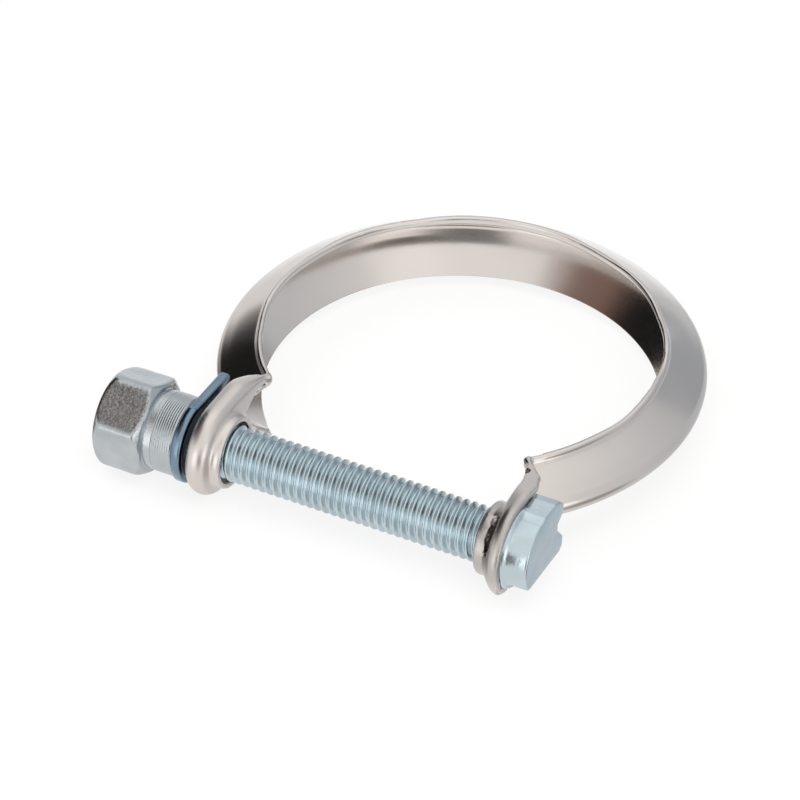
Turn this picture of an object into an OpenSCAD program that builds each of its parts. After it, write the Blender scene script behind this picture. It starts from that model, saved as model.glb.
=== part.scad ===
// Exhaust clamp: a V-section band ring with two cupped ears, drawn together by a bolt and a long collar nut.
// X runs along the bolt from nut to head, Z is the axis of the ring, the ears are at the front (-Y).
// The origin is the centre of the ring, halfway between its two rims.

/* [Band] */
// Bore across the rims of the ring
ring_bore = 68.8; // [67:0.2:70]
// Depth of the V from the bore to the outside of the ridge
v_depth = 7.5; // [7.2:0.1:8]
// Height of the band from rim to rim
band_h = 13.2; // [12.6:0.2:14]
// Thickness of the sheet
sheet_t = 1; // [0.9:0.1:1.2]
// Outside rounding of the ridge
ridge_round = 2; // [1.8:0.1:2.4]
// Height of the upright lip along each rim
lip_h = 1.3; // [1:0.1:1.6]

/* [Ears] */
// Distance of the bolt axis in front of the place where the ridge meets the ears' cut edges
bolt_lead = 9.06; // [8.7:0.02:9.4]
// Distance from the middle of the gap to an ear's cut edge
ear_x = 28.9; // [28.5:0.1:29.3]
// Depth of the left ear, under the nut, from its cut edge to its inner face
left_depth = 4.3; // [4:0.1:4.6]
// Depth of the right ear, under the head
right_depth = 2.5; // [2.3:0.1:2.8]
// Largest radius of the left ear around the bolt
left_r = 8.5; // [8.2:0.1:8.8]
// Radius of the rolled bulge around the left ear
bulge_r = 2.4; // [2.3:0.1:2.5]
// Radius of the right ear's flared edge
right_r = 8.9; // [8.6:0.1:9.1]
// Width of the right ear's flared edge, measured along the bolt
right_edge_w = 0.6; // [0.4:0.1:0.8]
// Length of the straight flank of an ear towards the ring
flank_l = 6.5; // [5.5:0.5:7]
// Wall of the collars around the bolt holes
collar_wall = 1.05; // [0.9:0.05:1.2]
// Height of the left ear's collar above its inner face
left_collar_h = 1.6; // [1.2:0.1:1.8]
// Height of the right ear's collar above its inner face
right_collar_h = 2.1; // [1.8:0.1:2.3]
// Half width of the mouth at its narrow end
mouth_narrow = 3.2; // [2.6:0.1:3.6]
// Distance from the bolt axis at which the mouth reaches its full width
mouth_full_at = 10.6; // [10:0.2:12]
// Distance from the bolt axis to the wide end of the mouth, inside the ring
mouth_reach = 15.4; // [15:0.1:16]
// Width of the torn slot in the wall of the right ear
slot_w = 1.2; // [1:0.1:1.3]
// Angle over which the torn slot runs around the bolt
slot_angle = 88; // [60:1:100]

/* [Bolt] */
// Outside diameter of the thread
thread_d = 9.76; // [9.6:0.02:9.8]
// Pitch of the thread
pitch = 1.5; // [1.4:0.05:1.6]
// Depth of the thread
thread_depth = 0.8; // [0.6:0.05:0.9]
// Distance of the bolt's end from the middle of the gap
bolt_end_x = 46; // [45:0.1:46.3]
// Length of the plain neck under the head
neck_l = 3; // [2:0.5:4]
// Thickness of the head
head_t = 5.4; // [5:0.1:6]
// Radius of the head's round front
head_r = 6.6; // [6.5:0.1:6.9]
// Height of the head's top above the bolt axis
head_top = 7; // [6.9:0.1:7.4]
// Depth of the head's flat underside below the bolt axis
head_bottom = 4.2; // [4:0.1:4.8]
// Reach of the head from the bolt axis towards the ring
head_reach = 7.8; // [7.4:0.1:8]
// Depth of the notch in the back of the head
notch_depth = 2.1; // [1.5:0.1:2.5]
// Height of the notch's floor
notch_h = 1.6; // [1.2:0.1:2]

/* [Washer] */
// Thickness of the washer plate
plate_t = 1.8; // [1.5:0.1:2]
// Radius of the washer's round front
plate_r = 7.5; // [7.3:0.1:7.8]
// Reach of the washer from the bolt axis towards the ring
plate_reach = 11.2; // [10:0.2:12]
// Height of the seat that holds the plate off the ear
seat_h = 1.1; // [0.9:0.1:1.2]
// Width of the seat's face around the hole
seat_w = 1.6; // [1.4:0.1:1.7]

/* [Nut] */
// Width across the flats of the hexagon
nut_flats = 16; // [15.6:0.1:16]
// Radius to which the hexagon's corners are turned down
nut_corner_r = 8.95; // [8.7:0.05:9]
// Length of the hexagon
hex_l = 9.3; // [9:0.1:9.6]
// Length of the turned collar of the nut
nut_collar_l = 5.6; // [5.3:0.1:6]
// Radius of the turned collar of the nut
nut_collar_r = 7; // [6.9:0.05:7.2]
// Length of the domed chamfer at the outer end
nut_dome_l = 2.5; // [2:0.1:2.7]
// Radius of the flat at the outer end
nut_end_r = 6.3; // [6.2:0.1:6.8]
// Turn of the hexagon about the bolt
nut_turn = 7.8; // [0:0.1:15]

/* [Clearances] */
// Gap between the washer's seat and the ear
seat_gap = 0.05; // [0.02:0.01:0.1]
// Gap between the washer and the nut
nut_gap = 0.05; // [0.02:0.01:0.1]
// Radial gap between the nut's bore and the thread
thread_gap = 0.05; // [0.02:0.01:0.1]
// Radial gap between an ear's hole and the thread
ear_hole_gap = 0.47; // [0.37:0.02:0.55]
// Radial gap between the washer's hole and the thread
washer_hole_gap = 0.42; // [0.32:0.02:0.5]
// Gap between the washer and the ridge of the ring
ridge_gap = 0.3; // [0.2:0.05:0.4]

/* [Hidden] */

$fn = 96;
hull_fn = 32;
eps = 0.01;
past = 1;
steel = [0.78, 0.75, 0.72];
zinc = [0.68, 0.75, 0.80];

rim_r = ring_bore / 2;
ridge_d = ring_bore + 2 * v_depth;
lip_r = rim_r + sheet_t;
half_h = band_h / 2;
lip_z = half_h - lip_h;
ridge_c = ridge_d / 2 - ridge_round;
leg_run = ridge_c - lip_r;
leg_slope = atan2(lip_z, leg_run) - asin(ridge_round / norm([leg_run, lip_z]));
arc_end = 90 - leg_slope;
inner_lip_z = lip_z - sheet_t * cos(leg_slope) + (sheet_t - sheet_t * sin(leg_slope)) * tan(leg_slope);

thread_r = thread_d / 2;
root_r = thread_r - thread_depth;
bolt_y = sqrt(pow(ridge_d / 2, 2) - pow(ear_x, 2)) + bolt_lead;
end_setback = 0.22;
open_half_angle = asin((ear_x - end_setback) / (ridge_d / 2));
ear_hole_r = thread_r + ear_hole_gap;
collar_r = ear_hole_r + collar_wall;
washer_hole_r = thread_r + washer_hole_gap;
seat_r = washer_hole_r + seat_w;

bulge_back = left_depth - bulge_r + 0.1;
left_face = ear_x - left_depth;
right_face = ear_x - right_depth;
slab_angle = 3;
slab_start = 0.5;
bury = 0.12;
head_seat_x = right_face + sheet_t;
head_seat_r = collar_r - 0.4;
mouth_start = collar_r + 0.3;
mouth_wide = half_h - sheet_t;
mouth_over = 0.4;
roll_end = -72;
cup_step = 0.5;
cup_floor_r = collar_r + 0.2;
cup_wall_r = collar_r + 0.9;
slot_start = 100;
slot_depth = right_r - collar_r + 1.5;
slot_offset = 0.4;

thread_start = -bolt_end_x + 1;
end_chamfer = 0.3;
neck_drop = 0.4;
crest_from = 0.4;
crest_to = 0.55;
ridge_to = 0.95;
thread_stop = ear_x - neck_l;
turns = floor((thread_stop - thread_start) / pitch);
washer_x = -ear_x - seat_gap;
nut_x = washer_x - seat_h - plate_t - nut_gap;
nut_bore_r = thread_r + thread_gap;
edge_inset = 0.7;

head_back_top = 4.5;
head_front_top = 0.6;
head_corner = 1;
head_drop = 2;
notch_z = 1.9;
bore_chamfer = 0.6;

// Points of an arc about a centre
function arc(c, r, from, to, n) = [for (i = [0 : n]) c + r * [cos(from + (to - from) * i / n), sin(from + (to - from) * i / n)]];

// Outline of the V over the sheet's outside, from the upper rim to the lower, moved into the sheet by d
function outside_line(d = 0) = concat(
    [[lip_r - d, half_h - d], [lip_r - d, lip_z - d]],
    arc([ridge_c, 0], ridge_round - d, arc_end, -arc_end, 10),
    [[lip_r - d, d - lip_z], [lip_r - d, d - half_h]]);

// Outline of the V over the sheet's inside, from the lower rim to the upper
function inside_line() = concat(
    [[rim_r, -half_h], [rim_r, -inner_lip_z]],
    arc([ridge_c, 0], ridge_round - sheet_t, -arc_end, arc_end, 10),
    [[rim_r, inner_lip_z], [rim_r, half_h]]);

// Section of the bent sheet
module v_section() {
    polygon(concat(outside_line(), inside_line()));
}

// Section filled up to the rims, a little inside the sheet's outer surface
module v_outer_fill() {
    polygon(concat(outside_line(bury), [[rim_r + bury, bury - half_h], [rim_r + bury, half_h - bury]]));
}

// Section of the space inside the sheet, a little beyond the sheet's inner surface
module v_inner_fill() {
    polygon(concat(
        [[rim_r - 0.3, -inner_lip_z - bury], [rim_r, -inner_lip_z - bury]],
        arc([ridge_c, 0], ridge_round - sheet_t + bury, -arc_end, arc_end, 10),
        [[rim_r, inner_lip_z + bury], [rim_r - 0.3, inner_lip_z + bury]]));
}

// Ring of V section, open at the front
module ring() {
    rotate([0, 0, -90 + open_half_angle])
        rotate_extrude(angle = 360 - 2 * open_half_angle)
            v_section();
}

// Turns a profile drawn as [radius, distance along the bolt] about the bolt axis
module about_bolt(y_shift = 0, steps = 96) {
    translate([0, -bolt_y + y_shift, 0])
        rotate([90, 0, 90])
            rotate_extrude($fn = steps)
                children();
}

// Rolled profile of the left ear, as [radius, distance from the middle of the gap]
function rolled_profile(inset, over) = concat(
    [[0, ear_x + over]],
    [[left_r - bulge_r + (bulge_r - inset) * cos(asin(bulge_back / bulge_r)), ear_x + over]],
    arc([left_r - bulge_r, ear_x - bulge_back], bulge_r - inset, asin(bulge_back / bulge_r), roll_end, 12),
    [[0, left_face + inset]]);

// Flared profile of the right ear
function flared_profile(inset, over) = [
    [0, ear_x + over],
    [right_r - inset, ear_x + over],
    [right_r - inset, ear_x - right_edge_w + inset / 2],
    [cup_wall_r - inset / 2, right_face + cup_step + inset],
    [cup_floor_r - inset / 2, right_face + inset],
    [0, right_face + inset]];

// Convex body of an ear on the +X side, its walls moved inwards by inset and its open side by over
module ear_body(left, inset, over) {
    profile = left ? rolled_profile(inset, over) : flared_profile(inset, over);
    hull() {
        about_bolt(0, hull_fn)
            polygon(profile);
        about_bolt(flank_l, hull_fn)
            polygon(profile);
        rotate([0, 0, -90 + open_half_angle + slab_start])
            rotate_extrude(angle = slab_angle, $fn = hull_fn * 4) {
                if (inset > 0) {
                    v_inner_fill();
                } else {
                    v_outer_fill();
                }
            }
    }
}

// Mouth between the two rims of an ear, narrowing towards the collar
module mouth(face) {
    translate([face - left_depth, -bolt_y, 0])
        rotate([90, 0, 90])
            linear_extrude(height = left_depth + sheet_t + mouth_over)
                polygon([
                    [mouth_start, -mouth_narrow],
                    [mouth_full_at, -mouth_wide],
                    [mouth_reach, -mouth_wide],
                    [mouth_reach, mouth_wide],
                    [mouth_full_at, mouth_wide],
                    [mouth_start, mouth_narrow]]);
}

// Space past the cut edge of an ear, as far back as the washer and the head reach
module past_cut_edge() {
    translate([ear_x, -bolt_y - 2 * left_r, -band_h])
        cube([left_r, 2 * left_r + plate_reach + ridge_gap, 2 * band_h]);
}

// One ear, drawn on the +X side
module ear(left) {
    face = left ? left_face : right_face;
    collar_h = left ? left_collar_h : right_collar_h;
    difference() {
        union() {
            difference() {
                ear_body(left, 0, 0);
                ear_body(left, sheet_t, past);
                mouth(face);
                past_cut_edge();
            }
            translate([face - collar_h, -bolt_y, 0])
                rotate([0, 90, 0])
                    cylinder(r = collar_r, h = collar_h + sheet_t);
        }
        translate([face - collar_h - past, -bolt_y, 0])
            rotate([0, 90, 0])
                cylinder(r = ear_hole_r, h = collar_h + sheet_t + 2 * past);
    }
}

// Torn slot in the front wall of the right ear
module torn_slot() {
    translate([right_face + slot_offset, -bolt_y, 0])
        rotate([90, 0, 90])
            rotate([0, 0, slot_start])
                rotate_extrude(angle = slot_angle)
                    translate([collar_r - slot_offset, 0])
                        square([slot_depth, slot_w]);
}

module band() {
    color(steel) {
        ring();
        difference() {
            ear(false);
            torn_slot();
        }
        mirror([1, 0, 0])
            ear(true);
    }
}

// Thread with one ridge for each turn, the plain neck and the round seat under the head
module thread() {
    ridges = [for (i = [0 : turns - 1]) for (p = [
        [root_r, thread_start + i * pitch],
        [thread_r, thread_start + (i + crest_from) * pitch],
        [thread_r, thread_start + (i + crest_to) * pitch],
        [root_r, thread_start + (i + ridge_to) * pitch]]) p];
    about_bolt()
        polygon(concat(
            [[0, -bolt_end_x], [root_r - end_chamfer, -bolt_end_x]],
            ridges,
            [[thread_r - neck_drop, thread_stop], [thread_r - neck_drop, head_seat_x], [head_seat_r, head_seat_x]],
            [[head_seat_r, ear_x + eps], [0, ear_x + eps]]));
}

// Outline of the head, seen along the bolt: first value towards the ring, second value up
module head_outline() {
    difference() {
        union() {
            intersection() {
                circle(r = head_r);
                translate([-head_r, -head_bottom])
                    square([2 * head_r, 2 * head_r]);
            }
            translate([0, -head_bottom])
                polygon([
                    [-head_corner, 0],
                    [head_reach - head_corner, 0],
                    [head_reach, head_corner],
                    [head_reach, head_bottom + head_top - head_drop],
                    [head_back_top, head_bottom + head_top],
                    [head_front_top, head_bottom + head_top],
                    [-head_corner, head_bottom + head_r - 0.1 * head_corner]]);
        }
        polygon([
            [head_reach + past, notch_z - notch_depth - notch_h - past / 2],
            [head_reach, notch_z - notch_depth - notch_h / 2],
            [head_reach - notch_depth, notch_z - notch_h / 2],
            [head_reach - notch_depth, notch_z + notch_h / 2],
            [head_reach, notch_z + notch_depth],
            [head_reach + past, notch_z + notch_depth + past / 2]]);
    }
}

module head() {
    translate([ear_x, -bolt_y, 0])
        rotate([90, 0, 90])
            linear_extrude(height = head_t)
                head_outline();
}

module bolt() {
    color(zinc) {
        thread();
        head();
    }
}

// Ring's outside with the gap that the washer keeps from it
module ridge_relief() {
    rotate_extrude($fn = 2 * $fn)
        polygon(concat(outside_line(-ridge_gap), [[rim_r, -half_h], [rim_r, half_h]]));
}

module washer() {
    color(zinc)
        difference() {
            union() {
                translate([washer_x - seat_h - plate_t, -bolt_y, 0])
                    rotate([90, 0, 90])
                        linear_extrude(height = plate_t)
                            union() {
                                circle(r = plate_r);
                                translate([0, edge_inset - plate_r])
                                    square([plate_reach, 2 * (plate_r - edge_inset)]);
                            }
                translate([washer_x - seat_h - eps, -bolt_y, 0])
                    rotate([0, 90, 0])
                        cylinder(r = seat_r, h = seat_h + eps);
            }
            translate([washer_x - seat_h - plate_t - past, -bolt_y, 0])
                rotate([0, 90, 0])
                    cylinder(r = washer_hole_r, h = seat_h + plate_t + 2 * past);
            ridge_relief();
        }
}

module nut() {
    end_x = nut_x - nut_collar_l - hex_l;
    hex_x = nut_x - nut_collar_l;
    color(zinc)
        difference() {
            union() {
                intersection() {
                    translate([end_x, -bolt_y, 0])
                        rotate([90, 0, 90])
                            rotate([0, 0, nut_turn + 30])
                                cylinder(d = nut_flats / cos(30), h = hex_l, $fn = 6);
                    about_bolt()
                        polygon([
                            [0, end_x],
                            [nut_end_r, end_x],
                            [nut_end_r + 1.1, end_x + 0.35],
                            [nut_end_r + 2, end_x + 1.1],
                            [nut_corner_r, end_x + nut_dome_l],
                            [nut_corner_r, hex_x - 1],
                            [nut_collar_r + 0.6, hex_x],
                            [0, hex_x]]);
                }
                translate([hex_x - eps, -bolt_y, 0])
                    rotate([0, 90, 0])
                        cylinder(r = nut_collar_r, h = nut_collar_l + eps);
            }
            translate([end_x - past, -bolt_y, 0])
                rotate([0, 90, 0])
                    cylinder(r = nut_bore_r, h = hex_l + nut_collar_l + 2 * past);
            translate([end_x - eps, -bolt_y, 0])
                rotate([0, 90, 0])
                    cylinder(r1 = nut_bore_r + bore_chamfer, r2 = nut_bore_r, h = bore_chamfer);
        }
}

band();
bolt();
washer();
nut();
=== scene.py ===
"""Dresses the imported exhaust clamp: V band, bolt, washer plate and long collar nut, on a white stage."""
import math

import bmesh
import bpy
import numpy as np
from mathutils import Matrix, Vector


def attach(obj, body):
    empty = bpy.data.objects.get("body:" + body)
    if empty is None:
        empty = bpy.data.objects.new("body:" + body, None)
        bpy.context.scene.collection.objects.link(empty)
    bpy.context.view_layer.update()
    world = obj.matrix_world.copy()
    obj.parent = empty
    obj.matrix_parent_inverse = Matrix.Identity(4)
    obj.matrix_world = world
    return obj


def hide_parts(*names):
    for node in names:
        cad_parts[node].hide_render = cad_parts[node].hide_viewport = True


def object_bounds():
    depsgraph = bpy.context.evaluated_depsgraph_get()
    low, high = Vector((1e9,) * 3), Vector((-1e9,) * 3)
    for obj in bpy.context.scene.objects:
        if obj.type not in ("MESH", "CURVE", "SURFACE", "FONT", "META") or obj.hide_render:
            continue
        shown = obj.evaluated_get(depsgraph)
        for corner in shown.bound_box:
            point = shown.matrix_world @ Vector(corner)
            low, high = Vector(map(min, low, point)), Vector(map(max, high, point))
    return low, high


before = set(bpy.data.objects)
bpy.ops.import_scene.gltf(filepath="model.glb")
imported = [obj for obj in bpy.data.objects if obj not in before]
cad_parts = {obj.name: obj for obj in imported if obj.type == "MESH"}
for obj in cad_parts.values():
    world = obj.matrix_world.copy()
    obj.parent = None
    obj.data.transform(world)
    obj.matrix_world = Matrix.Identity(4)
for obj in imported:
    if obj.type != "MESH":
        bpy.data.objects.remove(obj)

CAD_BOX = [list(c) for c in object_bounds()]
MM = 0.001

bl_info = {
    "name": "Exhaust clamp",
    "version": (1, 0, 0),
    "blender": (4, 5, 0),
    "location": "View3D > Sidebar > Clamp",
    "description": "Builds a V-section exhaust clamp with its bolt, washer plate and collar nut",
    "category": "Object",
}

# Lengths in millimetres, in the frame of the model: the bolt's axis, and faces across it from head to nut
BOLT_Y = -39.4
EAR_X = 28.9
WASHER_IN = -28.95
SEAT_OUT = -30.05
PLATE_OUT = -31.85
NUT_IN = -31.9

# Ring and ears: bend of the ridge, upright lip of the rim, floors and collars of the two cups, the bolt hole,
# roll of the left ear, and how far the right ear reaches over the head
RIDGE_ROUND = 2.0
LIP_H = 1.3
LEFT_FACE, RIGHT_FACE = 24.6, 26.4
LEFT_COLLAR_H, RIGHT_COLLAR_H = 1.6, 2.1
HOLE_R, COLLAR_R = 5.35, 6.4
ROLL_R = 2.4
FLARE = 1.1

# Bolt: end of the rod, end of the thread, start and end of the head
ROD_END = -46.0
THREAD_END = 25.9
HEAD_IN, HEAD_OUT = 28.9, 34.3

# Nut: whole length, length of its collar, radii of its hole and collar, turn of its hexagon in degrees
NUT_L, NUT_COLLAR_L = 14.9, 5.6
NUT_HOLE_R, NUT_COLLAR_R = 4.93, 7.0
HEX_TURN = 7.8

# Stage: how much light the floor gives off where the camera sees it
FLOOR_GLOW = 0.82


class BandSettings(bpy.types.PropertyGroup):
    ring_bore: bpy.props.FloatProperty(
        name="Bore", description="Bore across the rims of the ring, in mm", default=68.8, min=60, max=80)
    ridge_d: bpy.props.FloatProperty(
        name="Ridge diameter", description="Outside diameter over the ridge, in mm",
        default=84.5, min=80, max=90)
    band_h: bpy.props.FloatProperty(
        name="Height", description="Height of the band from rim to rim, in mm", default=13.2, min=10, max=16)
    sheet_t: bpy.props.FloatProperty(
        name="Sheet", description="Thickness of the sheet, in mm", default=1.0, min=0.8, max=1.5)
    open_angle: bpy.props.FloatProperty(
        name="Open half angle", description="Half of the angle left open between the ears",
        default=math.radians(43.2), subtype="ANGLE")
    wave: bpy.props.FloatProperty(
        name="Rim wave", description="Height of the waves along the upper rim, in mm",
        default=0.42, min=0, max=1)
    cell: bpy.props.FloatProperty(
        name="Cell", description="Size of the cells from which the surface is drawn, in mm",
        default=0.33, min=0.25, max=1)
    tint: bpy.props.FloatVectorProperty(
        name="Tint", description="Colour of the bright band", subtype="COLOR", size=3,
        default=(0.70, 0.675, 0.655), min=0, max=1)


class FastenerSettings(bpy.types.PropertyGroup):
    thread_d: bpy.props.FloatProperty(
        name="Thread", description="Outside diameter of the thread, in mm", default=9.76, min=6, max=14)
    pitch: bpy.props.FloatProperty(
        name="Pitch", description="Pitch of the thread, in mm", default=1.5, min=1, max=2)
    flats: bpy.props.FloatProperty(
        name="Across flats", description="Width of the nut across its flats, in mm",
        default=16.0, min=12, max=20)
    zinc: bpy.props.FloatVectorProperty(
        name="Zinc", description="Colour of the bolt's blue zinc plating", subtype="COLOR", size=3,
        default=(0.56, 0.67, 0.72), min=0, max=1)
    grey: bpy.props.FloatVectorProperty(
        name="Grey zinc", description="Colour of the nut's greyer plating", subtype="COLOR", size=3,
        default=(0.51, 0.555, 0.585), min=0, max=1)
    # The washer's blue zinc, set much darker than the bolt's: painted shade, for the washer lying in shadow
    # between the nut and the ear
    shade: bpy.props.FloatVectorProperty(
        name="Zinc in shade", description="Colour of the washer's darker plating", subtype="COLOR", size=3,
        default=(0.16, 0.26, 0.36), min=0, max=1)


class StageSettings(bpy.types.PropertyGroup):
    azimuth: bpy.props.FloatProperty(
        name="Azimuth", description="Direction of the camera around the clamp",
        default=math.radians(25.24), subtype="ANGLE")
    elevation: bpy.props.FloatProperty(
        name="Elevation", description="Height of the camera as an angle",
        default=math.radians(37.69), subtype="ANGLE")
    roll: bpy.props.FloatProperty(
        name="Roll", description="Roll of the camera", default=math.radians(1.57), subtype="ANGLE")
    distance: bpy.props.FloatProperty(
        name="Distance", description="Distance of the camera from the ring's centre",
        default=0.90637, unit="LENGTH")
    lamp: bpy.props.FloatProperty(
        name="Lamp", description="Power of the large lamp, in watts", default=3.2, min=0, max=50)


# Helpers for shapes

def smooth_step(low, high, v):
    t = np.clip((v - low) / (high - low), 0, 1)
    return t * t * (3 - 2 * t)


def smooth_max(a, b, k):
    h = np.clip(0.5 + 0.5 * (a - b) / k, 0, 1)
    return b + (a - b) * h + k * h * (1 - h)


def smooth_min(a, b, k):
    return -smooth_max(-a, -b, k)


def new_piece(name, verts, faces, body, nodes, material, sharp=None):
    """A piece from points in millimetres, riding on a body and standing for its CAD nodes."""
    mesh = bpy.data.meshes.new(name)
    verts = np.asarray(verts, float) * MM
    mesh.from_pydata(verts.tolist(), [], faces if isinstance(faces, list) else faces.tolist())
    mesh.validate()
    mesh.polygons.foreach_set("use_smooth", [True] * len(mesh.polygons))
    mesh.update()
    piece = bpy.data.objects.new(name, mesh)
    bpy.context.scene.collection.objects.link(piece)
    mesh.materials.append(material)
    if sharp is not None:
        mesh.set_sharp_from_angle(angle=math.radians(sharp))
    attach(piece, body)
    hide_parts(*nodes)
    return piece


def surface_net(f):
    """Closed surface where f changes sign, in steps of the grid.

    It has one point for each mixed cell and one quad for each crossing edge.
    """
    inside = f < 0
    nx, ny, nz = f.shape
    cells = np.zeros((nx - 1, ny - 1, nz - 1), np.int8)
    for dx in (0, 1):
        for dy in (0, 1):
            for dz in (0, 1):
                cells += inside[dx:nx - 1 + dx, dy:ny - 1 + dy, dz:nz - 1 + dz]
    ci, cj, ck = np.nonzero((cells > 0) & (cells < 8))
    total = np.zeros((len(ci), 3))
    count = np.zeros(len(ci))
    corners = [(0, 0, 0), (1, 0, 0), (0, 1, 0), (1, 1, 0), (0, 0, 1), (1, 0, 1), (0, 1, 1), (1, 1, 1)]
    for a in corners:
        for axis in range(3):
            if a[axis]:
                continue
            b = list(a)
            b[axis] = 1
            fa = f[ci + a[0], cj + a[1], ck + a[2]]
            fb = f[ci + b[0], cj + b[1], ck + b[2]]
            cross = (fa < 0) != (fb < 0)
            t = np.where(cross, fa / np.where(cross, fa - fb, 1), 0)
            point = np.tile(np.array(a, float), (len(ci), 1))
            point[:, axis] += t
            total += point * cross[:, None]
            count += cross
    verts = total / count[:, None] + np.stack([ci, cj, ck], 1)
    index = np.full(cells.shape, -1, np.int64)
    index[ci, cj, ck] = np.arange(len(ci))
    quads = []
    for axis in range(3):
        sl_a, sl_b = [slice(None)] * 3, [slice(None)] * 3
        sl_a[axis], sl_b[axis] = slice(0, -1), slice(1, None)
        a, b = inside[tuple(sl_a)], inside[tuple(sl_b)]
        ei, ej, ek = np.nonzero(a != b)
        starts = a[ei, ej, ek]
        p, q = [(1, 2), (2, 0), (0, 1)][axis]
        base = np.stack([ei, ej, ek], 1)
        ring = []
        for dp, dq in ((0, 0), (1, 0), (1, 1), (0, 1)):
            c = base.copy()
            c[:, p] -= dp
            c[:, q] -= dq
            ring.append(index[c[:, 0], c[:, 1], c[:, 2]])
        face = np.stack(ring, 1)
        face = np.where(starts[:, None], face, face[:, ::-1])
        quads.append(face)
    return verts, np.concatenate(quads)


def loft(rings, closed):
    """Quads between rings of points about the bolt axis; each ring is a distance along X and radii by angle.

    An open one begins and ends at a point on the axis.
    """
    tips = [] if closed else [rings[0][0], rings[-1][0]]
    rings = rings if closed else rings[1:-1]
    n = max(np.size(r) for _, r in rings)
    n = n if n > 1 else 180
    turn = np.arange(n) / n * 2 * math.pi
    verts = []
    for x, r in rings:
        r = np.broadcast_to(r, n)
        verts.append(np.stack([np.full(n, x), BOLT_Y + r * np.cos(turn), r * np.sin(turn)], 1))
    verts = np.concatenate(verts)
    m = len(rings)
    faces = []
    for i in range(m if closed else m - 1):
        a, b = i * n, (i + 1) % m * n
        k = np.arange(n)
        k2 = (k + 1) % n
        faces.append(np.stack([a + k, a + k2, b + k2, b + k], 1))
    faces = np.concatenate(faces).tolist()
    if not closed:
        first, last = len(verts), len(verts) + 1
        verts = np.concatenate([verts, [(x, BOLT_Y, 0) for x in tips]])
        faces += [[int(b), int(a), first] for a, b in zip(k, k2)]
        faces += [[int(a), int(b), last] for a, b in zip((m - 1) * n + k, (m - 1) * n + k2)]
    return verts, faces


def radii(points, n, soften=0.0):
    """Distance from the bolt axis to a closed outline, in n directions, with softened corners."""
    pts = np.asarray(points, float)
    out = np.zeros(n)
    for i, t in enumerate(np.arange(n) / n * 2 * math.pi):
        d = np.array([math.cos(t), math.sin(t)])
        a, b = pts, np.roll(pts, -1, 0)
        e = b - a
        det = d[0] * -e[:, 1] + d[1] * e[:, 0]
        with np.errstate(divide="ignore", invalid="ignore"):
            s = (a[:, 0] * -e[:, 1] + a[:, 1] * e[:, 0]) / det
            w = (d[0] * a[:, 1] - d[1] * a[:, 0]) / det
        hit = s[(np.abs(det) > 1e-9) & (s > 0) & (w >= -1e-9) & (w <= 1 + 1e-9)]
        out[i] = hit.max() if len(hit) else 0
    k = int(soften / 360 * n)
    if k > 0:
        pad = np.concatenate([out[-k:], out, out[:k]])
        out = np.convolve(pad, np.ones(2 * k + 1) / (2 * k + 1), mode="valid")
    return out


# Shape of the band

def rim_wave(turn):
    """How far the upper rim dips, by direction around the ring, in parts of the wave's height."""
    deg = np.degrees(turn) % 360
    dips = (
        (158, 13, 1.0), (128, 12, 0.9), (70, 16, 0.9), (38, 9, 1.2),
        (14, 9, 1.0), (-14, 9, 0.5), (200, 14, 0.9), (222, 10, 0.6))
    out = 0.5 * np.ones_like(deg)
    for at, width, depth in dips:
        gap = (deg - at + 180) % 360 - 180
        out = out + depth * np.exp(-(gap / width) ** 2)
    return out


def ring_sheet(x, y, z, s):
    """Signed distance to the V sheet of the ring, before its ends are cut."""
    rim_r, t, half = s.ring_bore / 2, s.sheet_t, s.band_h / 2
    turn = np.arctan2(y, x)
    r = np.hypot(x, y)
    upper = smooth_step(2.5, 6.0, z)
    wave = rim_wave(turn)
    z = z + s.wave * wave * upper
    r = r + 0.14 * np.sin(turn * 11 + 0.6) * upper * smooth_step(0.3, 1.4, wave)
    az = np.abs(z)
    ridge_c, bend = s.ridge_d / 2 - RIDGE_ROUND, RIDGE_ROUND - t / 2
    lip = np.array([rim_r + t / 2, half - LIP_H])
    run = ridge_c - lip[0]
    slope = math.atan2(lip[1], run) - math.asin(bend / math.hypot(run, lip[1]))
    arc = [(ridge_c + bend * math.cos(a), bend * math.sin(a)) for a in np.linspace(math.pi / 2 - slope, 0, 9)]
    corner = []
    leg = np.array(arc[0]) - lip
    leg /= np.linalg.norm(leg)
    for k in np.linspace(0, 1, 6):
        a, b = lip + np.array([0, 0.8]) * (1 - k), lip + leg * 0.8 * k
        corner.append(a * (1 - k) + b * k)
    upper_line = [(lip[0], half + 3)] + [tuple(c) for c in corner] + arc
    edge = np.array([rim_r + t * 0.65, half])
    run = ridge_c - edge[0]
    slope = math.atan2(half, run) - math.asin(bend / math.hypot(run, half))
    arc = [(ridge_c + bend * math.cos(a), bend * math.sin(a)) for a in np.linspace(math.pi / 2 - slope, 0, 9)]
    beyond = edge + (edge - np.array(arc[0])) * 0.4
    best = np.full(r.shape, 1e9)
    for line, here in ((upper_line, z >= 0), ([tuple(beyond)] + arc, z < 0)):
        for (ax, ay), (bx, by) in zip(line[:-1], line[1:]):
            ex, ey = bx - ax, by - ay
            k = np.clip(((r - ax) * ex + (az - ay) * ey) / (ex * ex + ey * ey), 0, 1)
            best = np.where(here, np.minimum(best, (r - ax - k * ex) ** 2 + (az - ay - k * ey) ** 2), best)
    return smooth_max(np.sqrt(best) - t / 2, az - half, 0.25)


def rolled_points():
    """Profile of the left ear's outside, as radius and distance from the middle of the gap."""
    first = math.asin((4.3 - ROLL_R + 0.1) / ROLL_R)
    turns = np.linspace(first, math.radians(-72), 10)
    arc = [(6.1 + ROLL_R * math.cos(a), EAR_X - 2.0 + ROLL_R * math.sin(a)) for a in turns]
    return [(arc[0][0], EAR_X)] + arc


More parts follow.
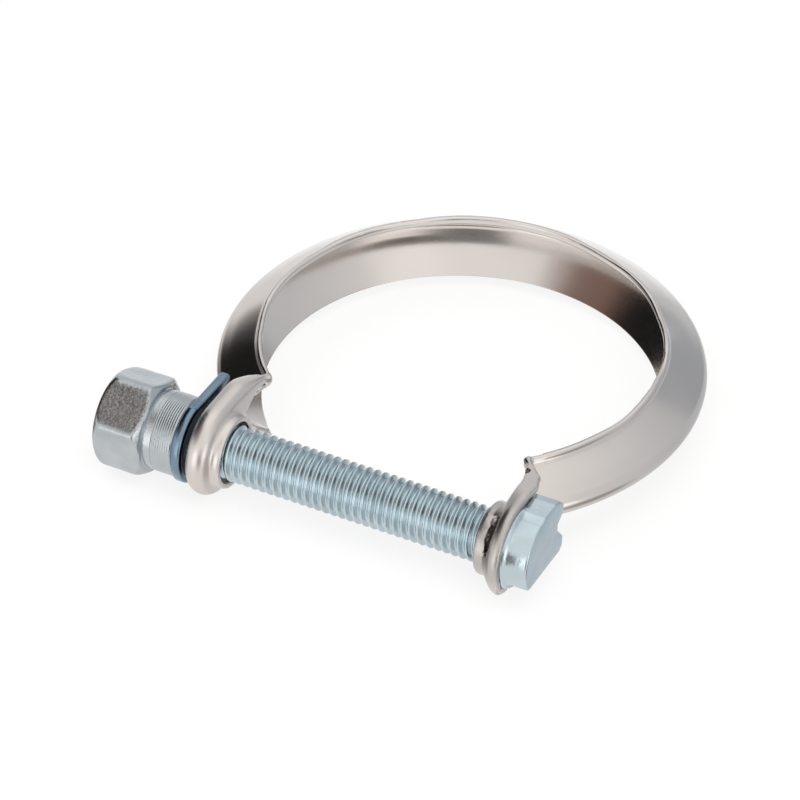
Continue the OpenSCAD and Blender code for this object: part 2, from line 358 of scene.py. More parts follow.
def flared_points():
    """Profile of the right ear's outside."""
    wall = [(8.6, EAR_X + FLARE), (8.85, EAR_X + 0.4), (8.8, EAR_X - 0.3), (8.4, EAR_X - 1.0)]
    return wall + [(7.35, RIGHT_FACE + 0.55), (7.0, RIGHT_FACE + 0.15), (6.5, RIGHT_FACE)]


def wrap_planes(points):
    """Planes of the skin wrapped round a cloud of points: directions and distances."""
    bm = bmesh.new()
    for p in points:
        bm.verts.new(p)
    bmesh.ops.convex_hull(bm, input=bm.verts)
    planes = set()
    for face in bm.faces:
        n = face.normal
        if face.calc_area() > 1e-7:
            planes.add((round(n.x, 4), round(n.y, 4), round(n.z, 4), round(n.dot(face.verts[0].co), 3)))
    bm.free()
    planes = np.array(sorted(planes))
    centre = np.mean(points, 0)
    if np.median(planes[:, :3] @ centre - planes[:, 3]) > 0:
        planes = -planes
    return planes


def ear_wrap(s, left):
    """Outside of an ear: round at the bolt, straight flanks, and the V section of the ring at its end."""
    points = []
    for y in (BOLT_Y, BOLT_Y + 6.5):
        for r, x in (rolled_points() if left else flared_points()):
            for a in np.linspace(0, 2 * math.pi, 60, endpoint=False):
                points.append((x, y + r * math.cos(a), r * math.sin(a)))
    half, lip_r, ridge_c = s.band_h / 2, s.ring_bore / 2 + s.sheet_t, s.ridge_d / 2 - RIDGE_ROUND
    inset = 0.05
    run, round_r = ridge_c - lip_r, RIDGE_ROUND - inset
    slope = math.atan2(half - LIP_H, run) - math.asin(RIDGE_ROUND / math.hypot(run, half - LIP_H))
    section = [
        (lip_r - s.sheet_t + inset, half - inset), (lip_r - inset, half - inset),
        (lip_r - inset, half - LIP_H - inset)]
    for a in np.linspace(math.pi / 2 - slope, 0, 7):
        section.append((ridge_c + round_r * math.cos(a), round_r * math.sin(a)))
    for turn in (0.5, 2, 3.5):
        a = -math.pi / 2 + s.open_angle + math.radians(turn)
        for r, z in section:
            points += [(r * math.cos(a), r * math.sin(a), z), (r * math.cos(a), r * math.sin(a), -z)]
    planes = wrap_planes(points)
    return planes[planes[:, 0] < 0.97]


def ear_sheet(x, y, z, s, left):
    """Signed distance to one ear, drawn for the +X side."""
    t = s.sheet_t
    u, dy, az = x, y - BOLT_Y, np.abs(z)
    e = -(x * math.cos(s.open_angle) + y * math.sin(s.open_angle))
    planes = ear_wrap(s, left)
    flat = np.stack([x.ravel(), y.ravel(), z.ravel()], 1)
    solid = np.empty(len(flat))
    for i in range(0, len(flat), 40000):
        solid[i:i + 40000] = (flat[i:i + 40000] @ planes[:, :3].T - planes[:, 3]).max(1)
    solid = solid.reshape(x.shape)
    if left:
        face = LEFT_FACE - 0.3 * np.clip((dy - 6.5) / 7.1, 0, 1.2) ** 1.5
        top = 8.5 - 1.8 * np.clip((dy - 8) / 5.6, 0, 1) ** 1.3
        collar_h, face_c = LEFT_COLLAR_H, LEFT_FACE
    else:
        face = RIGHT_FACE - 2.1 * np.clip((dy - 6.5) / 7.1, 0, 1.2) ** 1.7
        top = 6.75 + 2.15 * (1 - np.clip((dy - 3) / 10.6, 0, 1)) ** 1.4
        collar_h, face_c = RIGHT_COLLAR_H, RIGHT_FACE
    solid = smooth_max(solid, smooth_max(face - u, az - top, 0.8), 0.7)
    for axis in range(3):
        for k in range(2 if left else 1):
            near = np.roll(solid, 1, axis) + np.roll(solid, -1, axis)
            solid = solid * 0.5 + near * 0.25
    sheet = np.abs(solid + t / 2) - t / 2
    # Mouth towards the ring
    mouth_half = np.clip(3.3 + (dy - 6.8) * 0.6, 0, 5.3)
    mouth = np.maximum(np.maximum(az - mouth_half, 6.7 - dy), u - face - t - 0.4)
    sheet = smooth_max(sheet, -mouth, 0.3)
    # Collar round the bolt hole
    rho = np.hypot(dy, z)
    wall = np.abs(rho - (HOLE_R + COLLAR_R) / 2) - (COLLAR_R - HOLE_R) / 2
    tube = smooth_max(wall, np.maximum(face_c - collar_h - u, u - face_c - t * 0.8), 0.45)
    sheet = smooth_min(sheet, tube, 1.0)
    sheet = smooth_max(sheet, np.where(u < face_c + 1.6, HOLE_R - rho, -5.0), 0.3)
    if not left:
        # Torn slot beside the collar, and a small hole near the ring
        deg = np.degrees(np.arctan2(z, dy)) % 360
        rough = 0.1 * np.sin(deg * 0.23 + 1)
        width = 0.75 - 0.35 * smooth_step(130, 170, deg)
        ends = np.maximum(5.95 - rho, (np.abs(deg - 136) - 30) * 0.12)
        slot = np.maximum(np.abs(u - 26.8 + rough) - width, ends)
        sheet = smooth_max(sheet, -slot, 0.2)
        pin = np.sqrt((u - 25.9) ** 2 + (dy - 10.6) ** 2 + (z - 6.9) ** 2) - 0.55
        sheet = smooth_max(sheet, -pin, 0.2)
    # Cut edge of the ear, further out over the head, and its end inside the ring
    edge = EAR_X if left else EAR_X + FLARE * (1 - smooth_step(6, 10, dy)) * smooth_step(-8, -3, z)
    sheet = smooth_max(sheet, u - edge, 0.25)
    return np.maximum(sheet, -0.9 - e)


def band_grid(s):
    """Radii, directions and heights of the band's grid; directions lie closer together at the ears."""
    low, high = math.radians(-68.5), math.radians(248.5)
    turns = [low]
    while turns[-1] < high:
        from_front = math.degrees(min(turns[-1] + math.pi / 2, 1.5 * math.pi - turns[-1]))
        spread = float(smooth_step(51, 58, from_front))
        turns.append(turns[-1] + s.cell / 44 * (1 + 2 * spread))
    return np.arange(33.3, 57.4, s.cell), np.array(turns), np.arange(-9.7, 9.8, s.cell)


def band_field(radius, turn, height, s):
    """Signed distance to the whole band, and the places of the grid's points."""
    r, a, z = np.meshgrid(radius, turn, height, indexing="ij")
    x, y = r * np.cos(a), r * np.sin(a)
    end = -(np.abs(x) * math.cos(s.open_angle) + y * math.sin(s.open_angle))
    field = np.maximum(ring_sheet(x, y, z, s), np.where(y < 0, end, -10.0) - 0.05)
    for left, side in ((False, turn < math.radians(-38)), (True, turn > math.radians(218))):
        ear = ear_sheet(np.abs(x[:, side]), y[:, side], z[:, side], s, left)
        field[:, side] = smooth_min(field[:, side], ear, 0.6)
    return field


def settle(verts, s):
    """Draws the points of the ring, away from its ears, onto the exact sheet."""
    from_front = np.abs((np.degrees(np.arctan2(verts[:, 1], verts[:, 0])) + 270) % 360 - 180)
    chosen = from_front > 49
    for k in range(3):
        p = verts[chosen]
        here = ring_sheet(*p.T, s)
        slope = np.stack([
            (ring_sheet(*(p + d).T, s) - ring_sheet(*(p - d).T, s)) / 0.02 for d in np.eye(3) * 0.01], 1)
        move = np.clip(here / np.maximum((slope ** 2).sum(1), 0.2), -0.2, 0.2)
        verts[chosen] = p - slope * move[:, None]
    return verts


# Materials

def add(tree, kind, **values):
    node = tree.nodes.new(kind)
    for key, value in values.items():
        setattr(node, key, value)
    return node


def join(tree, a, out, b, into):
    tree.links.new(a.outputs[out], b.inputs[into])


def plating_group():
    """Plated metal: a tint that drifts, roughness that varies, and a fine bump."""
    name = "plated metal"
    if name in bpy.data.node_groups:
        return bpy.data.node_groups[name]
    g = bpy.data.node_groups.new(name, "ShaderNodeTree")
    sock = g.interface.new_socket
    for label, kind, default in (
            ("Tint", "NodeSocketColor", (0.7, 0.7, 0.7, 1)),
            ("Second tint", "NodeSocketColor", (0.5, 0.5, 0.5, 1)),
            ("Drift scale", "NodeSocketFloat", 60.0), ("Drift", "NodeSocketFloat", 0.3),
            ("Roughness low", "NodeSocketFloat", 0.12), ("Roughness high", "NodeSocketFloat", 0.3),
            ("Grain scale", "NodeSocketFloat", 900.0),
            ("Swell scale", "NodeSocketFloat", 150.0), ("Swell", "NodeSocketFloat", 0.0)):
        s = sock(name=label, in_out="INPUT", socket_type=kind)
        s.default_value = default
    for label, kind in (
            ("Colour", "NodeSocketColor"), ("Roughness", "NodeSocketFloat"), ("Height", "NodeSocketFloat")):
        sock(name=label, in_out="OUTPUT", socket_type=kind)
    inp, out = add(g, "NodeGroupInput"), add(g, "NodeGroupOutput")
    where = add(g, "ShaderNodeTexCoord")
    drift = add(g, "ShaderNodeTexNoise")
    drift.inputs["Detail"].default_value = 4
    join(g, where, "Object", drift, "Vector")
    join(g, inp, "Drift scale", drift, "Scale")
    span = add(g, "ShaderNodeMapRange")
    span.inputs["From Min"].default_value = 0.35
    span.inputs["From Max"].default_value = 0.68
    join(g, drift, "Fac", span, "Value")
    amount = add(g, "ShaderNodeMath", operation="MULTIPLY")
    join(g, span, "Result", amount, 0)
    join(g, inp, "Drift", amount, 1)
    mix = add(g, "ShaderNodeMix", data_type="RGBA")
    g.links.new(amount.outputs[0], mix.inputs[0])
    g.links.new(inp.outputs["Tint"], mix.inputs[6])
    g.links.new(inp.outputs["Second tint"], mix.inputs[7])
    g.links.new(mix.outputs[2], out.inputs["Colour"])
    grain = add(g, "ShaderNodeTexNoise")
    grain.inputs["Detail"].default_value = 3
    join(g, where, "Object", grain, "Vector")
    join(g, inp, "Grain scale", grain, "Scale")
    rough = add(g, "ShaderNodeMapRange")
    rough.inputs["From Min"].default_value = 0.3
    rough.inputs["From Max"].default_value = 0.7
    join(g, drift, "Fac", rough, "Value")
    join(g, inp, "Roughness low", rough, "To Min")
    join(g, inp, "Roughness high", rough, "To Max")
    join(g, rough, "Result", out, "Roughness")
    swell = add(g, "ShaderNodeTexNoise")
    swell.inputs["Detail"].default_value = 1
    join(g, where, "Object", swell, "Vector")
    join(g, inp, "Swell scale", swell, "Scale")
    height = add(g, "ShaderNodeMath", operation="MULTIPLY_ADD")
    join(g, swell, "Fac", height, 0)
    join(g, inp, "Swell", height, 1)
    join(g, grain, "Fac", height, 2)
    join(g, height, "Value", out, "Height")
    return g


def metal(name, tint, second, scale, drift, low, high, grain, bump):
    """A material of plated metal; returns it with its tree, shader and group for further nodes."""
    mat = bpy.data.materials.new(name)
    mat.use_nodes = True
    tree = mat.node_tree
    shader = tree.nodes["Principled BSDF"]
    shader.inputs["Metallic"].default_value = 1.0
    group = add(tree, "ShaderNodeGroup")
    group.node_tree = plating_group()
    group.inputs["Tint"].default_value = (*tint, 1)
    group.inputs["Second tint"].default_value = (*second, 1)
    group.inputs["Drift scale"].default_value = scale
    group.inputs["Drift"].default_value = drift
    group.inputs["Roughness low"].default_value = low
    group.inputs["Roughness high"].default_value = high
    group.inputs["Grain scale"].default_value = grain
    join(tree, group, "Colour", shader, "Base Color")
    join(tree, group, "Roughness", shader, "Roughness")
    relief = add(tree, "ShaderNodeBump")
    relief.inputs["Strength"].default_value = bump
    relief.inputs["Distance"].default_value = 0.0001
    join(tree, group, "Height", relief, "Height")
    join(tree, relief, "Normal", shader, "Normal")
    return mat, tree, shader, group


# Pieces

class CLAMP_OT_band(bpy.types.Operator):
    """Presses the band: V-section ring with wavy upper rim and two cupped ears"""
    bl_idname = "clamp.band"
    bl_label = "Band"

    def execute(self, context):
        s = context.scene.clamp_band
        grid = band_grid(s)
        steps, quads = surface_net(band_field(*grid, s))
        r, a, z = (np.interp(steps[:, i], np.arange(len(grid[i])), grid[i]) for i in range(3))
        verts = settle(np.stack([r * np.cos(a), r * np.sin(a), z], 1), s)
        second = (0.62, 0.585, 0.56)
        mat, tree, shader, group = metal(
            "bright pressed steel", s.tint, second,
            scale=45, drift=0.35, low=0.13, high=0.22, grain=500, bump=0.03)
        group.inputs["Swell scale"].default_value = 130
        group.inputs["Swell"].default_value = 12
        self.dull_ears(tree, shader, group)
        # Paints shade over the slot in the right ear
        self.paint_slot_shade(tree, shader, group)
        new_piece("band_sheet", verts, quads, "clamp", ["band"], mat)
        return {"FINISHED"}


    def dull_ears(self, tree, shader, group):
        """The ears are duller where the press has drawn them."""
        where = add(tree, "ShaderNodeTexCoord")
        split = add(tree, "ShaderNodeSeparateXYZ")
        join(tree, where, "Object", split, "Vector")
        ears = add(tree, "ShaderNodeMapRange", interpolation_type="SMOOTHSTEP")
        ears.inputs["From Min"].default_value = -24 * MM
        ears.inputs["From Max"].default_value = -33 * MM
        ears.inputs["To Max"].default_value = 0.16
        join(tree, split, "Y", ears, "Value")
        total = add(tree, "ShaderNodeMath", operation="ADD")
        join(tree, group, "Roughness", total, 0)
        join(tree, ears, "Result", total, 1)
        join(tree, total, "Value", shader, "Roughness")


    def paint_slot_shade(self, tree, shader, group):
        """Painted shade over the slot between the right ear's collar and its flared wall: a near-black patch
        with a ragged edge, with greyer metal around it.
        """
        at = math.radians(136)
        middle = Vector((26.9, BOLT_Y + 7.1 * math.cos(at), 7.1 * math.sin(at))) * MM
        where = add(tree, "ShaderNodeTexCoord")
        away = add(tree, "ShaderNodeVectorMath", operation="SUBTRACT")
        away.inputs[1].default_value = middle
        join(tree, where, "Object", away, 0)
        spans = []
        for way, reach in (((1, 0, 0), 0.95), ((0, -math.sin(at), math.cos(at)), 4.2)):
            dot = add(tree, "ShaderNodeVectorMath", operation="DOT_PRODUCT")
            dot.inputs[1].default_value = Vector(way) / (reach * MM)
            join(tree, away, "Vector", dot, 0)
            square = add(tree, "ShaderNodeMath", operation="MULTIPLY")
            join(tree, dot, "Value", square, 0)
            join(tree, dot, "Value", square, 1)
            spans.append(square)
        out_of = add(tree, "ShaderNodeMath", operation="ADD")
        join(tree, spans[0], "Value", out_of, 0)
        join(tree, spans[1], "Value", out_of, 1)
        frayed = add(tree, "ShaderNodeTexNoise")
        frayed.inputs["Scale"].default_value = 1400
        frayed.inputs["Detail"].default_value = 3
        join(tree, where, "Object", frayed, "Vector")
        ragged = add(tree, "ShaderNodeMath", operation="MULTIPLY_ADD")
        ragged.inputs[1].default_value = 1.6
        join(tree, frayed, "Fac", ragged, 0)
        join(tree, out_of, "Value", ragged, 2)
        # Where the painted shade of the slot lies, with a ragged edge
        slot_shade_mask = add(tree, "ShaderNodeMapRange", interpolation_type="SMOOTHSTEP")
        slot_shade_mask.inputs["From Min"].default_value = 1.95
        slot_shade_mask.inputs["From Max"].default_value = 1.15
        join(tree, ragged, "Value", slot_shade_mask, "Value")
        # Metal made greyer within 11 mm of the slot's middle, most of all within 6 mm
        length = add(tree, "ShaderNodeVectorMath", operation="LENGTH")
        join(tree, away, "Vector", length, 0)
        near = add(tree, "ShaderNodeMapRange", interpolation_type="SMOOTHSTEP")
        near.inputs["From Min"].default_value = 11 * MM
        near.inputs["From Max"].default_value = 6 * MM
        near.inputs["To Max"].default_value = 0.7
        join(tree, length, "Value", near, "Value")
        greyer_near_slot = add(tree, "ShaderNodeMix", data_type="RGBA")
        greyer_near_slot.inputs[7].default_value = (0.44, 0.43, 0.42, 1)
        tree.links.new(near.outputs[0], greyer_near_slot.inputs[0])
        tree.links.new(group.outputs["Colour"], greyer_near_slot.inputs[6])
        # Painted shade: near-black colour over the slot's shadowed hollow
        dark = add(tree, "ShaderNodeMix", data_type="RGBA")
        dark.inputs[7].default_value = (0.035, 0.027, 0.02, 1)
        tree.links.new(slot_shade_mask.outputs[0], dark.inputs[0])
        tree.links.new(greyer_near_slot.outputs[2], dark.inputs[6])
        tree.links.new(dark.outputs[2], shader.inputs["Base Color"])


class CLAMP_OT_bolt(bpy.types.Operator):
    """Cuts the bolt: helical thread, plain neck, round seat and notched head"""
    bl_idname = "clamp.bolt"
    bl_label = "Bolt"

    def execute(self, context):
        s = context.scene.clamp_fasteners
        n = 72
        turn = np.arange(n) / n
        crest, root = s.thread_d / 2, s.thread_d / 2 - 0.82
        rings = [(ROD_END + 0.4, 0), (ROD_END, 0.5), (ROD_END, root - 0.6), (ROD_END + 0.2, root - 0.3)]
        for x in np.arange(ROD_END + 0.3, THREAD_END, s.pitch / 12):
            d = np.abs((x + 17.36 - s.pitch * turn) / s.pitch % 1 - 0.5)
            lift = np.clip((d - 0.07) / 0.36, 0, 1)
            lift = lift * lift * (3 - 2 * lift) * 0.35 + lift * 0.65
            grown = smooth_step(ROD_END, ROD_END + 1.2, x)
            fade = float(grown * (1 - smooth_step(THREAD_END - 1.3, THREAD_END - 0.1, x)))
            rings.append((x, root + (crest - root) * lift * fade + 0.25 * (1 - fade) * (x > 0)))
        rings += [
            (THREAD_END + 0.05, root + 0.25), (HEAD_IN - 1.55, root + 0.25), (HEAD_IN - 1.5, 5.9),
            (HEAD_IN - 1.4, 6.0), (HEAD_IN + 0.05, 6.0), (HEAD_IN + 0.05, 0)]
        verts, faces = loft(rings, False)
        outline = [
            (-1.0, -4.2), (6.8, -4.2), (7.7, -3.4), (7.85, -1.6), (5.7, 1.1), (5.7, 2.7),
            (7.6, 3.9), (7.7, 5.3), (6.6, 6.4), (4.8, 7.0), (0.8, 7.0), (-0.6, 6.55)]
        front = [(6.6 * math.cos(a), 6.6 * math.sin(a)) for a in np.radians(np.arange(98, 220, 3))]
        edge = radii(outline + front, 720, 0.6)
        foot = np.maximum(edge, 7.35)
        head = [
            (HEAD_IN, 0), (HEAD_IN, foot - 0.3), (HEAD_IN + 0.1, foot - 0.08), (HEAD_IN + 0.25, foot),
            (HEAD_IN + 1.0, foot), (HEAD_IN + 1.4, smooth_max(edge, 7.0, 0.4)), (HEAD_IN + 1.9, edge),
            (HEAD_OUT - 0.45, edge), (HEAD_OUT - 0.2, edge - 0.08), (HEAD_OUT - 0.05, edge - 0.25),
            (HEAD_OUT, edge - 0.5), (HEAD_OUT, edge * 0.5), (HEAD_OUT, 0)]
        hv, hf = loft(head, False)
        faces += [[i + len(verts) for i in face] for face in hf]
        verts = np.concatenate([verts, hv])
        second = (0.45, 0.55, 0.61)
        zinc = metal(
            "blue zinc", s.zinc, second, scale=160, drift=0.6, low=0.13, high=0.28, grain=1500, bump=0.3)[0]
        new_piece("bolt_rod", verts, faces, "clamp", ["bolt"], zinc, sharp=50)
        return {"FINISHED"}


class CLAMP_OT_washer(bpy.types.Operator):
    """Stamps the washer plate with its seat"""
    bl_idname = "clamp.washer"
    bl_label = "Washer plate"

    def execute(self, context):
        s = context.scene.clamp_fasteners
        front = [(7.5 * math.cos(a), 7.5 * math.sin(a)) for a in np.radians(np.arange(96, 265, 3))]
        back = [(-0.8, -7.3), (10.9, -6.8), (11.2, -6.4), (11.2, 6.4), (10.9, 6.8), (-0.8, 7.3)]
        edge = radii(back + front, 360, 1.0)
        rings = [
            (PLATE_OUT, 5.4), (PLATE_OUT, edge - 0.6), (PLATE_OUT + 0.1, edge - 0.3), (PLATE_OUT + 0.4, edge),
            (SEAT_OUT - 0.35, edge), (SEAT_OUT - 0.1, edge - 0.12), (SEAT_OUT, edge - 0.35),
            (SEAT_OUT, 6.5), (SEAT_OUT + 0.1, 6.4), (WASHER_IN - 0.25, 6.4), (WASHER_IN, 6.8),
            (WASHER_IN, 5.4), (WASHER_IN - 0.1, 5.3), (PLATE_OUT + 0.1, 5.3)]
        verts, faces = loft(rings, True)
        second = (0.33, 0.42, 0.5)
        # The washer's darker zinc is painted shade
        mat, tree, shader, group = metal(
            "dark blue zinc", s.shade, second, scale=160, drift=0.6, low=0.16, high=0.34, grain=1200, bump=0.15)
        self.paint_seat_shade(tree, shader, group)
        new_piece("washer_plate", verts, faces, "washer", ["washer"], mat, sharp=50)
        return {"FINISHED"}

    def paint_seat_shade(self, tree, shader, group):
        """Painted shade on the seat, which stands between the plate and the ear: near-black colour where the
        narrow gap lies in shadow.
        """
        where = add(tree, "ShaderNodeTexCoord")
        split = add(tree, "ShaderNodeSeparateXYZ")
        join(tree, where, "Object", split, "Vector")
        mask = add(tree, "ShaderNodeMapRange")
        mask.inputs["From Min"].default_value = (SEAT_OUT - 0.05) * MM
        mask.inputs["From Max"].default_value = (SEAT_OUT + 0.1) * MM
        join(tree, split, "X", mask, "Value")
        # Painted shade: the seat is coloured near black
        mix = add(tree, "ShaderNodeMix", data_type="RGBA")
        mix.inputs[7].default_value = (0.02, 0.022, 0.025, 1)
        tree.links.new(mask.outputs[0], mix.inputs[0])
        tree.links.new(group.outputs["Colour"], mix.inputs[6])
        tree.links.new(mix.outputs[2], shader.inputs["Base Color"])


class CLAMP_OT_nut(bpy.types.Operator):
    """Turns the long nut: hexagon with a domed end, chamfer and grooved collar"""
    bl_idname = "clamp.nut"
    bl_label = "Collar nut"

    def execute(self, context):
        s = context.scene.clamp_fasteners
        n = 360
        deg = np.arange(n) - HEX_TURN
        hexa = s.flats / 2 / np.cos(np.radians((deg + 30) % 60 - 30))
        hexa = smooth_min(hexa, np.full(n, 9.0), 0.5)
        end = NUT_IN - NUT_L
        hex_in = NUT_IN - NUT_COLLAR_L
        rings = [(hex_in, NUT_HOLE_R), (end + 0.7, NUT_HOLE_R), (end + 0.1, 5.5), (end, 5.7), (end, 6.1)]
        for k in np.linspace(0, 1, 14)[1:]:
            a = k * math.pi / 2
            dome = np.full(n, 6.1 + 3.0 * math.sin(a) ** 0.9)
            rings.append((end + 2.5 * (1 - math.cos(a)), smooth_min(hexa, dome, 0.35)))
        rings += [(hex_in - 1.9, hexa), (hex_in - 1.4, hexa)]
        for k in np.linspace(0, 1, 6):
            rings.append((hex_in - 1.3 + 1.3 * k, smooth_min(hexa, np.full(n, 9.3 - 1.6 * k), 0.3)))
        rings += [(hex_in + 0.02, 7.4), (hex_in + 0.1, 7.12)]
        for x in np.arange(hex_in + 0.2, NUT_IN - 0.3, 0.07):
            groove = 0.035 * math.sin((x - hex_in) * 2 * math.pi / 0.42) * (x > hex_in + 1.6)
            rings.append((x, NUT_COLLAR_R + groove))
        rings += [
            (NUT_IN - 0.2, NUT_COLLAR_R - 0.05), (NUT_IN, NUT_COLLAR_R - 0.25),
            (NUT_IN, 5.1), (NUT_IN - 0.2, NUT_HOLE_R)]
        verts, faces = loft(rings, True)
        second = (0.385, 0.445, 0.475)
        mat, tree, shader, group = metal(
            "grey zinc", s.grey, second, scale=170, drift=0.6, low=0.16, high=0.32, grain=1500, bump=0.4)
        self.speckle(tree, shader, group)
        new_piece("collar_nut", verts, faces, "nut", ["nut"], mat, sharp=40)
        return {"FINISHED"}

    def speckle(self, tree, shader, group):
        """Dark pits over one flat of the hexagon."""
        where = add(tree, "ShaderNodeTexCoord")
        a = math.radians(120 + HEX_TURN)
        dot = add(tree, "ShaderNodeVectorMath", operation="DOT_PRODUCT")
        dot.inputs[1].default_value = (0, math.cos(a), math.sin(a))
        join(tree, where, "Object", dot, 0)
        mask = add(tree, "ShaderNodeMapRange")
        reach = BOLT_Y * MM * math.cos(a)
        mask.inputs["From Min"].default_value = reach + 7.88 * MM
        mask.inputs["From Max"].default_value = reach + 7.97 * MM
        tree.links.new(dot.outputs["Value"], mask.inputs["Value"])
        pits = add(tree, "ShaderNodeTexNoise")
        pits.inputs["Scale"].default_value = 3300
        pits.inputs["Detail"].default_value = 3
        join(tree, where, "Object", pits, "Vector")
        patch = add(tree, "ShaderNodeTexNoise")
        patch.inputs["Scale"].default_value = 330
        join(tree, where, "Object", patch, "Vector")
        both = add(tree, "ShaderNodeMath", operation="MULTIPLY_ADD")
        both.inputs[1].default_value = 0.25
        join(tree, patch, "Fac", both, 0)
        join(tree, pits, "Fac", both, 2)
        sharp = add(tree, "ShaderNodeMapRange")
        sharp.inputs["From Min"].default_value = 0.52
        sharp.inputs["From Max"].default_value = 0.74
        sharp.inputs["To Max"].default_value = 0.8
        tree.links.new(both.outputs[0], sharp.inputs["Value"])
        amount = add(tree, "ShaderNodeMath", operation="MULTIPLY")
        join(tree, mask, "Result", amount, 0)
        join(tree, sharp, "Result", amount, 1)
        mix = add(tree, "ShaderNodeMix", data_type="RGBA")
        mix.inputs[7].default_value = (0.2, 0.215, 0.22, 1)
        tree.links.new(amount.outputs[0], mix.inputs[0])
        tree.links.new(group.outputs["Colour"], mix.inputs[6])
        tree.links.new(mix.outputs[2], shader.inputs["Base Color"])


class CLAMP_OT_stage(bpy.types.Operator):
    """Sets the white floor, the soft lamps and the camera"""
    bl_idname = "clamp.stage"
    bl_label = "Stage"

    def execute(self, context):
        s = context.scene.clamp_stage
        scene = context.scene
        scene.view_settings.view_transform = "Standard"
        self.floor()
        self.world(scene)
        lamps = (((0.25, -0.35, 0.75), 0.7, s.lamp), ((-0.5, -0.1, 0.55), 0.5, s.lamp * 0.45))
        for place, size, power in lamps:
            lamp = bpy.data.objects.new("soft_lamp", bpy.data.lights.new("soft_lamp", "AREA"))
            lamp.data.size = size
            lamp.data.energy = power
            lamp.location = place
            lamp.rotation_euler = (Vector((0, 0, 0)) - Vector(place)).to_track_quat("-Z", "Y").to_euler()
            lamp.visible_glossy = False
            scene.collection.objects.link(lamp)
        self.camera(scene, s)
        return {"FINISHED"}

    def floor(self):
        mesh = bpy.data.meshes.new("floor")
        half, z = 3.0, CAD_BOX[0][2] - 0.0001
        corners = [(-half, -half, z), (half, -half, z), (half, half, z), (-half, half, z)]
        mesh.from_pydata(corners, [], [(0, 1, 2, 3)])
        obj = bpy.data.objects.new("floor", mesh)
        bpy.context.scene.collection.objects.link(obj)
        mat = bpy.data.materials.new("white floor")
        mat.use_nodes = True
        tree = mat.node_tree
        shader = tree.nodes["Principled BSDF"]
        shader.inputs["Base Color"].default_value = (0.93, 0.93, 0.93, 1)
        shader.inputs["Roughness"].default_value = 0.8
        out = tree.nodes["Material Output"]
        glow = add(tree, "ShaderNodeEmission")
        path = add(tree, "ShaderNodeLightPath")
        part = add(tree, "ShaderNodeMath", operation="MULTIPLY")
        part.inputs[1].default_value = FLOOR_GLOW
        join(tree, path, "Is Camera Ray", part, 0)
        mix = add(tree, "ShaderNodeMixShader")
        tree.links.new(part.outputs[0], mix.inputs[0])
        tree.links.new(shader.outputs[0], mix.inputs[1])
        tree.links.new(glow.outputs[0], mix.inputs[2])
        tree.links.new(mix.outputs[0], out.inputs["Surface"])
        mesh.materials.append(mat)
        obj.visible_glossy = False

    def world(self, scene):
        """White for the camera. Metal mirrors a white room with darker and brighter places."""
        world = bpy.data.worlds.new("studio")
        scene.world = world
        world.use_nodes = True
        tree = world.node_tree
        back = tree.nodes["Background"]
        where = add(tree, "ShaderNodeTexCoord")

        def toward(way, outer, inner, soft="SMOOTHSTEP"):
            """One inside a cone about a direction, nothing outside it; the two limits are cosines."""
            dot = add(tree, "ShaderNodeVectorMath", operation="DOT_PRODUCT")
            dot.inputs[1].default_value = Vector(way).normalized()
            join(tree, where, "Generated", dot, 0)
            span = add(tree, "ShaderNodeMapRange", interpolation_type=soft)
            span.inputs["From Min"].default_value = outer
            span.inputs["From Max"].default_value = inner
            tree.links.new(dot.outputs["Value"], span.inputs["Value"])
            return span.outputs["Result"]

        def blend(amount, below, colour):
            """Lays a colour over what is below it, by an amount."""
            mix = add(tree, "ShaderNodeMix", data_type="RGBA")
            tree.links.new(amount, mix.inputs[0])
            if isinstance(below, tuple):
                mix.inputs[6].default_value = below
            else:
                tree.links.new(below, mix.inputs[6])
            mix.inputs[7].default_value = colour
            return mix.outputs[2]

        room = blend(toward((0.5, 0.866, 0), -0.1, 0.95, "LINEAR"), (1.0, 0.96, 0.93, 1), (0.62, 0.63, 0.65, 1))
        # Places in the room: direction, outer and inner limit, colour
        for way, outer, inner, shade in (
                ((0.22, 0.92, 0.33), 0.93, 0.99, (0.43, 0.45, 0.48, 1)),
                ((-0.15, 0.2, 1), 0.7, 0.98, (1.16, 1.13, 1.1, 1)),
                ((0.55, -0.35, 0.75), 0.93, 0.99, (1.1, 1.06, 1.03, 1)),
                ((-0.24, -0.95, 0.0), 0.9, 0.98, (1.65, 1.6, 1.56, 1)),
                ((0.86, -0.5, 0.0), 0.94, 0.985, (1.7, 1.63, 1.58, 1)),
                ((0.4, -0.91, -0.06), 0.93, 0.98, (0.3, 0.27, 0.25, 1)),
                ((0.87, -0.05, -0.5), 0.92, 0.985, (0.42, 0.4, 0.38, 1)),
                ((-0.35, 0.85, -0.45), 0.86, 0.97, (1.1, 1.1, 1.1, 1)),
                ((-0.66, -0.34, 0.67), 0.87, 0.98, (0.24, 0.15, 0.12, 1)),
                ((-0.933, 0.165, -0.31), 0.87, 0.99, (0.15, 0.15, 0.15, 1)),
                ((-0.86, 0.19, 0.48), 0.80, 0.93, (0.012, 0.012, 0.012, 1))):
            room = blend(toward(way, outer, inner), room, shade)
        path = add(tree, "ShaderNodeLightPath")
        seen = blend(path.outputs["Is Camera Ray"], room, (1, 1, 1, 1))
        tree.links.new(seen, back.inputs["Color"])

    def camera(self, scene, s):
        """Camera at the photograph's angle; the ring's centre falls right of and above the frame's middle."""
        sa, ca, se, ce = math.sin(s.azimuth), math.cos(s.azimuth), math.sin(s.elevation), math.cos(s.elevation)
        back = Vector((sa * ce, -ca * ce, se))
        right = Vector((ca, sa, 0))
        up = back.cross(right)
        cr, sr = math.cos(s.roll), math.sin(s.roll)
        right, up = right * cr + up * sr, up * cr - right * sr
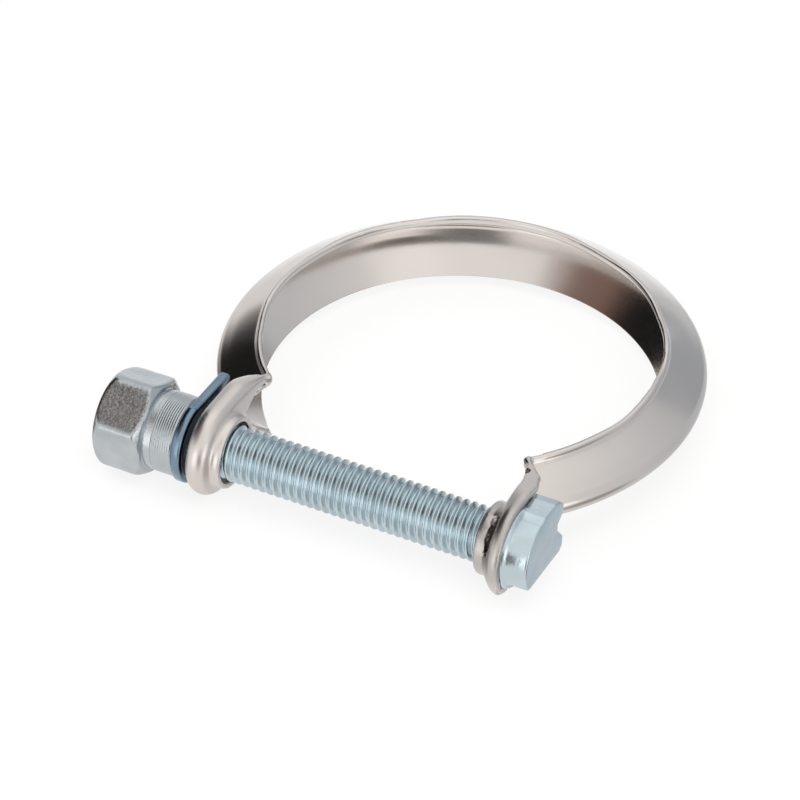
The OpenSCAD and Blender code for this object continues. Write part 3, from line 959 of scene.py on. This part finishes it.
        # In pixels of an 800 x 800 frame: focal length, and where the ring's centre falls
        frame_px, focal, centre_x, centre_y = 800, 5263.8, 462.09, 365.49
        across, down = (frame_px / 2 - centre_x) / focal, (frame_px / 2 - centre_y) / focal
        ahead = (-back + right * across - up * down).normalized()
        right = (right - ahead * right.dot(ahead)).normalized()
        up = right.cross(ahead)
        cam = bpy.data.objects.new("camera", bpy.data.cameras.new("camera"))
        cam.data.sensor_width = 36
        cam.data.lens = focal * cam.data.sensor_width / frame_px
        cam.data.clip_start = 0.05
        cam.data.clip_end = 20
        place = back * s.distance
        cam.matrix_world = Matrix((
            (right.x, up.x, -ahead.x, place.x), (right.y, up.y, -ahead.y, place.y),
            (right.z, up.z, -ahead.z, place.z), (0, 0, 0, 1)))
        scene.collection.objects.link(cam)
        scene.camera = cam


class CLAMP_PT_panel(bpy.types.Panel):
    """Lists the steps that build the clamp"""
    bl_idname = "CLAMP_PT_panel"
    bl_label = "Exhaust clamp"
    bl_space_type = "VIEW_3D"
    bl_region_type = "UI"
    bl_category = "Clamp"

    def draw(self, context):
        for name in STEPS:
            self.layout.operator("clamp." + name)


STEPS = ("band", "bolt", "washer", "nut", "stage")
CLASSES = (
    BandSettings, FastenerSettings, StageSettings,
    CLAMP_OT_band, CLAMP_OT_bolt, CLAMP_OT_washer, CLAMP_OT_nut, CLAMP_OT_stage, CLAMP_PT_panel)


def register():
    for cls in CLASSES:
        bpy.utils.register_class(cls)
    bpy.types.Scene.clamp_band = bpy.props.PointerProperty(type=BandSettings)
    bpy.types.Scene.clamp_fasteners = bpy.props.PointerProperty(type=FastenerSettings)
    bpy.types.Scene.clamp_stage = bpy.props.PointerProperty(type=StageSettings)


def unregister():
    del bpy.types.Scene.clamp_stage
    del bpy.types.Scene.clamp_fasteners
    del bpy.types.Scene.clamp_band
    for cls in reversed(CLASSES):
        bpy.utils.unregister_class(cls)


def main():
    register()
    for name in STEPS:
        getattr(bpy.ops.clamp, name)()


if __name__ == "__main__":
    main()
